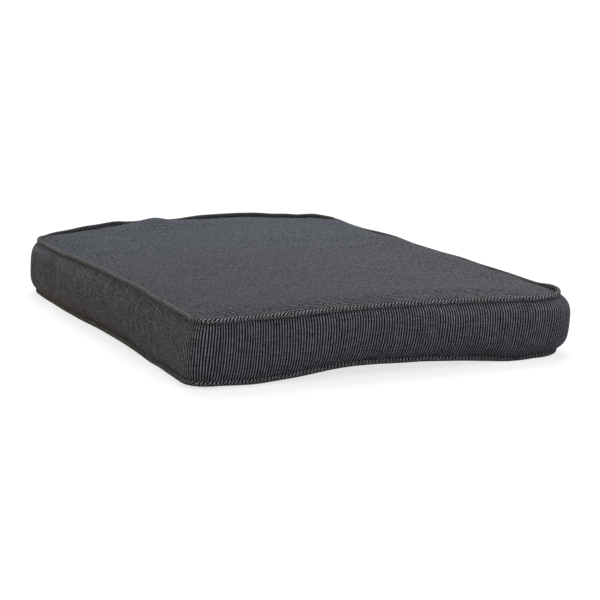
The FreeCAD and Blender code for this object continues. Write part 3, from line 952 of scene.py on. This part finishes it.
def filament_finish():
    finish = Finish("nylon_filament", Roughness=0.38)
    place = finish.node("ShaderNodeTexCoord", output="Object")
    grain = finish.noise(place, 900.0, 3.0)
    colour = finish.blend(grain, (0.010, 0.010, 0.014), (0.050, 0.050, 0.062))
    return finish.show(
        Base_Color=colour, Roughness=0.3 + grain * 0.2, Normal=finish.bump(grain, 0.00005))


coil_finish = filament_finish()


def tube_faces(rings, sides):
    """Faces of a closed tube whose points run round each ring in turn."""
    faces = []
    for base in range(0, (rings - 1) * sides, sides):
        for k in range(sides):
            following = (k + 1) % sides
            faces.append((base + k, base + following, base + sides + following, base + sides + k))
    faces.append(tuple(range(sides - 1, -1, -1)))
    faces.append(tuple(range((rings - 1) * sides, rings * sides)))
    return faces


def filament(name, path):
    """A round filament along a path, closed at both ends."""
    forward = np.gradient(path, axis=0)
    forward /= np.linalg.norm(forward, axis=1, keepdims=True)
    across = np.cross(forward, (0.0, 1.0, 0.0))
    across /= np.maximum(np.linalg.norm(across, axis=1, keepdims=True), 1e-9)
    above = np.cross(across, forward)
    angles = np.linspace(0, 2 * math.pi, filament_sides, endpoint=False)
    sides = [
        path + filament_radius * (across * math.cos(angle) + above * math.sin(angle))
        for angle in angles]
    points = np.stack(sides, 1).reshape(-1, 3)
    return new_object(name, points.tolist(), tube_faces(len(path), filament_sides), coil_finish)


def coil(name, node, side):
    low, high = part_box(node)
    turns = int((high.x - low.x) / coil_pitch)
    phase = np.linspace(0, turns * 2 * math.pi, turns * loop_steps)
    x = low.x + coil_pitch * (0.25 + phase / (2 * math.pi))
    half = (coil_half + head_reach) / 2 - filament_radius
    centre = (coil_half - head_reach) / 2
    squared = np.sign(np.cos(phase)) * np.abs(np.cos(phase)) ** loop_squareness
    z = middle + side * (centre - half * squared + strand_spread(x))
    y = (low.y + high.y) / 2 + ((high.y - low.y) / 2 - filament_radius) * np.sin(phase)
    piece = filament(name, np.column_stack([x, y, z]))
    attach(piece, "pad")
    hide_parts(node)


coil("coil_upper", "zip_coil_upper", 1)
coil("coil_lower", "zip_coil_lower", -1)


# ---- Stitching along the zip ----
# A row of lockstitches in dark thread holds each turned edge down on its tape. The stitches
# lie on the cloth between their needle holes and dive into it at both ends.

stitch_pitch = 0.0032
stitch_inset = 0.0035        # from the fold
stitch_margin = 0.012        # length of the tapes that is left without stitches
thread_radius = 0.00022
thread_sides = 6
thread_lift = 0.00008
# rings of a stitch: (place along it, height, girth), in pitches and in thread radii
stitch_rings = (
    (-0.42, -0.4, 0.55), (-0.32, 0.35, 1.0), (0.0, 0.6, 1.05), (0.32, 0.35, 1.0),
    (0.42, -0.4, 0.55))


def thread_finish():
    finish = Finish("sewing_thread", Sheen_Weight=0.2)
    place = finish.node("ShaderNodeTexCoord", output="Object")
    twist = finish.noise(place, 2500.0, 2.0)
    colour = finish.blend(twist, (0.012, 0.012, 0.018), (0.05, 0.05, 0.065))
    return finish.show(Base_Color=colour, Roughness=0.6 + twist * 0.2)


stitch_finish = thread_finish()


def stitch_row(name, side):
    """Short raised stitches between the needle holes of one row."""
    z = middle + side * (slot_half + stitch_inset)
    back = seam.side_of == 2
    heights = (seam.top if side > 0 else seam.bottom)[back][::-1]
    count = int((2 * tape_end - stitch_margin) / stitch_pitch)
    points, faces = [], []
    for index in range(count):
        centre = (index - (count - 1) / 2) * stitch_pitch
        seam_height = np.interp(centre, seam.plan[back, 0][::-1], heights)
        drawn = (top_seam - middle) * stitch_inset / abs(seam_height - middle - side * slot_half)
        level = depth / 2 + back_bulge + thread_lift - arc_drop(drawn)
        for face in tube_faces(len(stitch_rings), thread_sides):
            faces.append([len(points) + corner for corner in reversed(face)])
        for run, rise, girth in stitch_rings:
            for k in range(thread_sides):
                angle = 2 * math.pi * k / thread_sides
                points.append((
                    centre + run * stitch_pitch,
                    level + thread_radius * (rise + girth * math.sin(angle)),
                    z + thread_radius * girth * math.cos(angle)))
    piece = new_object(name, points, faces, stitch_finish)
    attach(piece, "pad")


stitch_row("stitches_upper", 1)
stitch_row("stitches_lower", -1)


# ---- Slider, pull tab and stops ----
# Die-cast zinc with a dark stoved paint, rubbed through to grey metal in small spots. The
# slider runs on the chain, its tab swings on the bridge, and stops end the chain.

def painted_zinc():
    finish = Finish("painted_zinc")
    place = finish.node("ShaderNodeTexCoord", output="Object")
    grain = finish.noise(place, 700.0, 4.0, 0.7)
    rub = finish.noise(place, 240.0, 5.0, 0.75)
    worn = finish.ramp(rub + (grain - 0.5) * 0.2, 0.60, 0.68)
    paint = finish.blend(grain, (0.014, 0.014, 0.016), (0.030, 0.030, 0.033))
    colour = finish.blend(worn, paint, (0.25, 0.245, 0.24))
    return finish.show(
        Base_Color=colour, Metallic=worn * 0.9, Roughness=0.30 + grain * 0.22,
        Normal=finish.bump(grain - worn * 0.4, 0.00004))


zinc_finish = painted_zinc()
for node in ("zip_slider", "zip_pull_tab", "zip_top_stops", "zip_bottom_stop"):
    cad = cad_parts[node]
    cad.data.materials.clear()
    cad.data.materials.append(zinc_finish)


# ---- Studio ----
# A white floor and surround under broad soft light: most of it from above and a little behind,
# a warm part from the left and some from the front. The floor keeps the pad's soft shadow.

floor_size = 60
floor_level = -0.0002        # just under the cloth that rests on it
floor_glow = 0.74            # lifts the floor to white where the camera or a mirror sees it
surround_light, surround_seen = 0.22, 1.0
floor_finish = Finish("floor_white", Base_Color=(0.30, 0.30, 0.30, 1), Roughness=0.9)
seen = floor_finish.node("ShaderNodeLightPath")
mirrored = floor_finish.node("ShaderNodeLightPath", output="Is Glossy Ray")
glow = floor_finish.node("ShaderNodeEmission", inputs={
    "Color": (1.0, 1.0, 1.0), "Strength": seen.math("MAXIMUM", mirrored) * floor_glow})
both = floor_finish.node(
    "ShaderNodeAddShader", inputs=(Value(floor_finish, floor_finish.surface.outputs[0]), glow))
floor_finish.feed(floor_finish.tree.nodes["Material Output"].inputs["Surface"], both)
bpy.ops.mesh.primitive_plane_add(size=floor_size, location=(0, 0, floor_level))
floor = bpy.context.object
floor.name = "floor"
floor.data.materials.append(floor_finish.material)


def soft_light(name, source, strength, spread, colour=(1, 1, 1)):
    """Even light from one side of the sky, soft over the given angle."""
    light = bpy.data.lights.new(name, "SUN")
    light.energy, light.angle, light.color = strength, math.radians(spread), colour
    made = bpy.data.objects.new(name, light)
    made.rotation_mode = "QUATERNION"
    made.rotation_quaternion = (-Vector(source)).to_track_quat("-Z", "Y")
    bpy.context.scene.collection.objects.link(made)


soft_light("overhead", (0.3, 0.6, 1.0), 1.80, 36, (0.95, 1.0, 1.0))
soft_light("left_fill", (-1.0, -0.1, 0.7), 0.98, 40, (1.0, 0.89, 0.64))
soft_light("front_fill", (0.25, -1.0, 0.7), 1.08, 40, (0.94, 0.94, 1.0))

world = bpy.data.worlds.new("surround")
world.use_nodes = True
nodes, links = world.node_tree.nodes, world.node_tree.links
nodes["Background"].inputs["Color"].default_value = (1, 1, 1, 1)
ray = nodes.new("ShaderNodeLightPath")
either = nodes.new("ShaderNodeMath")
either.operation = "MAXIMUM"
strength = nodes.new("ShaderNodeMapRange")
strength.inputs["To Min"].default_value = surround_light
strength.inputs["To Max"].default_value = surround_seen
links.new(ray.outputs["Is Camera Ray"], either.inputs[0])
links.new(ray.outputs["Is Glossy Ray"], either.inputs[1])
links.new(either.outputs[0], strength.inputs["Value"])
links.new(strength.outputs[0], nodes["Background"].inputs["Strength"])
bpy.context.scene.world = world


# ---- Camera ----
# Low, to the left of the front edge, far enough back for a long lens.

camera_azimuth, camera_elevation = math.radians(-27.64), math.radians(12)
camera_distance = 2.466
camera_roll = math.radians(1.56)
camera_lens = 159.0
camera_data = bpy.data.cameras.new("camera")
camera = bpy.data.objects.new("camera", camera_data)
bpy.context.scene.collection.objects.link(camera)
aim = Vector((0, 0, top_seam / 2))
back = Vector((
    math.sin(camera_azimuth) * math.cos(camera_elevation),
    -math.cos(camera_azimuth) * math.cos(camera_elevation), math.sin(camera_elevation)))
camera.location = aim + back * camera_distance
camera.rotation_mode = "QUATERNION"
camera.rotation_quaternion = (-back).to_track_quat("-Z", "Y") @ Quaternion((0, 0, 1), camera_roll)
camera_data.lens = camera_lens
camera_data.sensor_width = 36.0
camera_data.shift_x = 0.0383
camera_data.shift_y = -0.0107
bpy.context.scene.camera = camera
bpy.context.scene.view_settings.view_transform = "Standard"
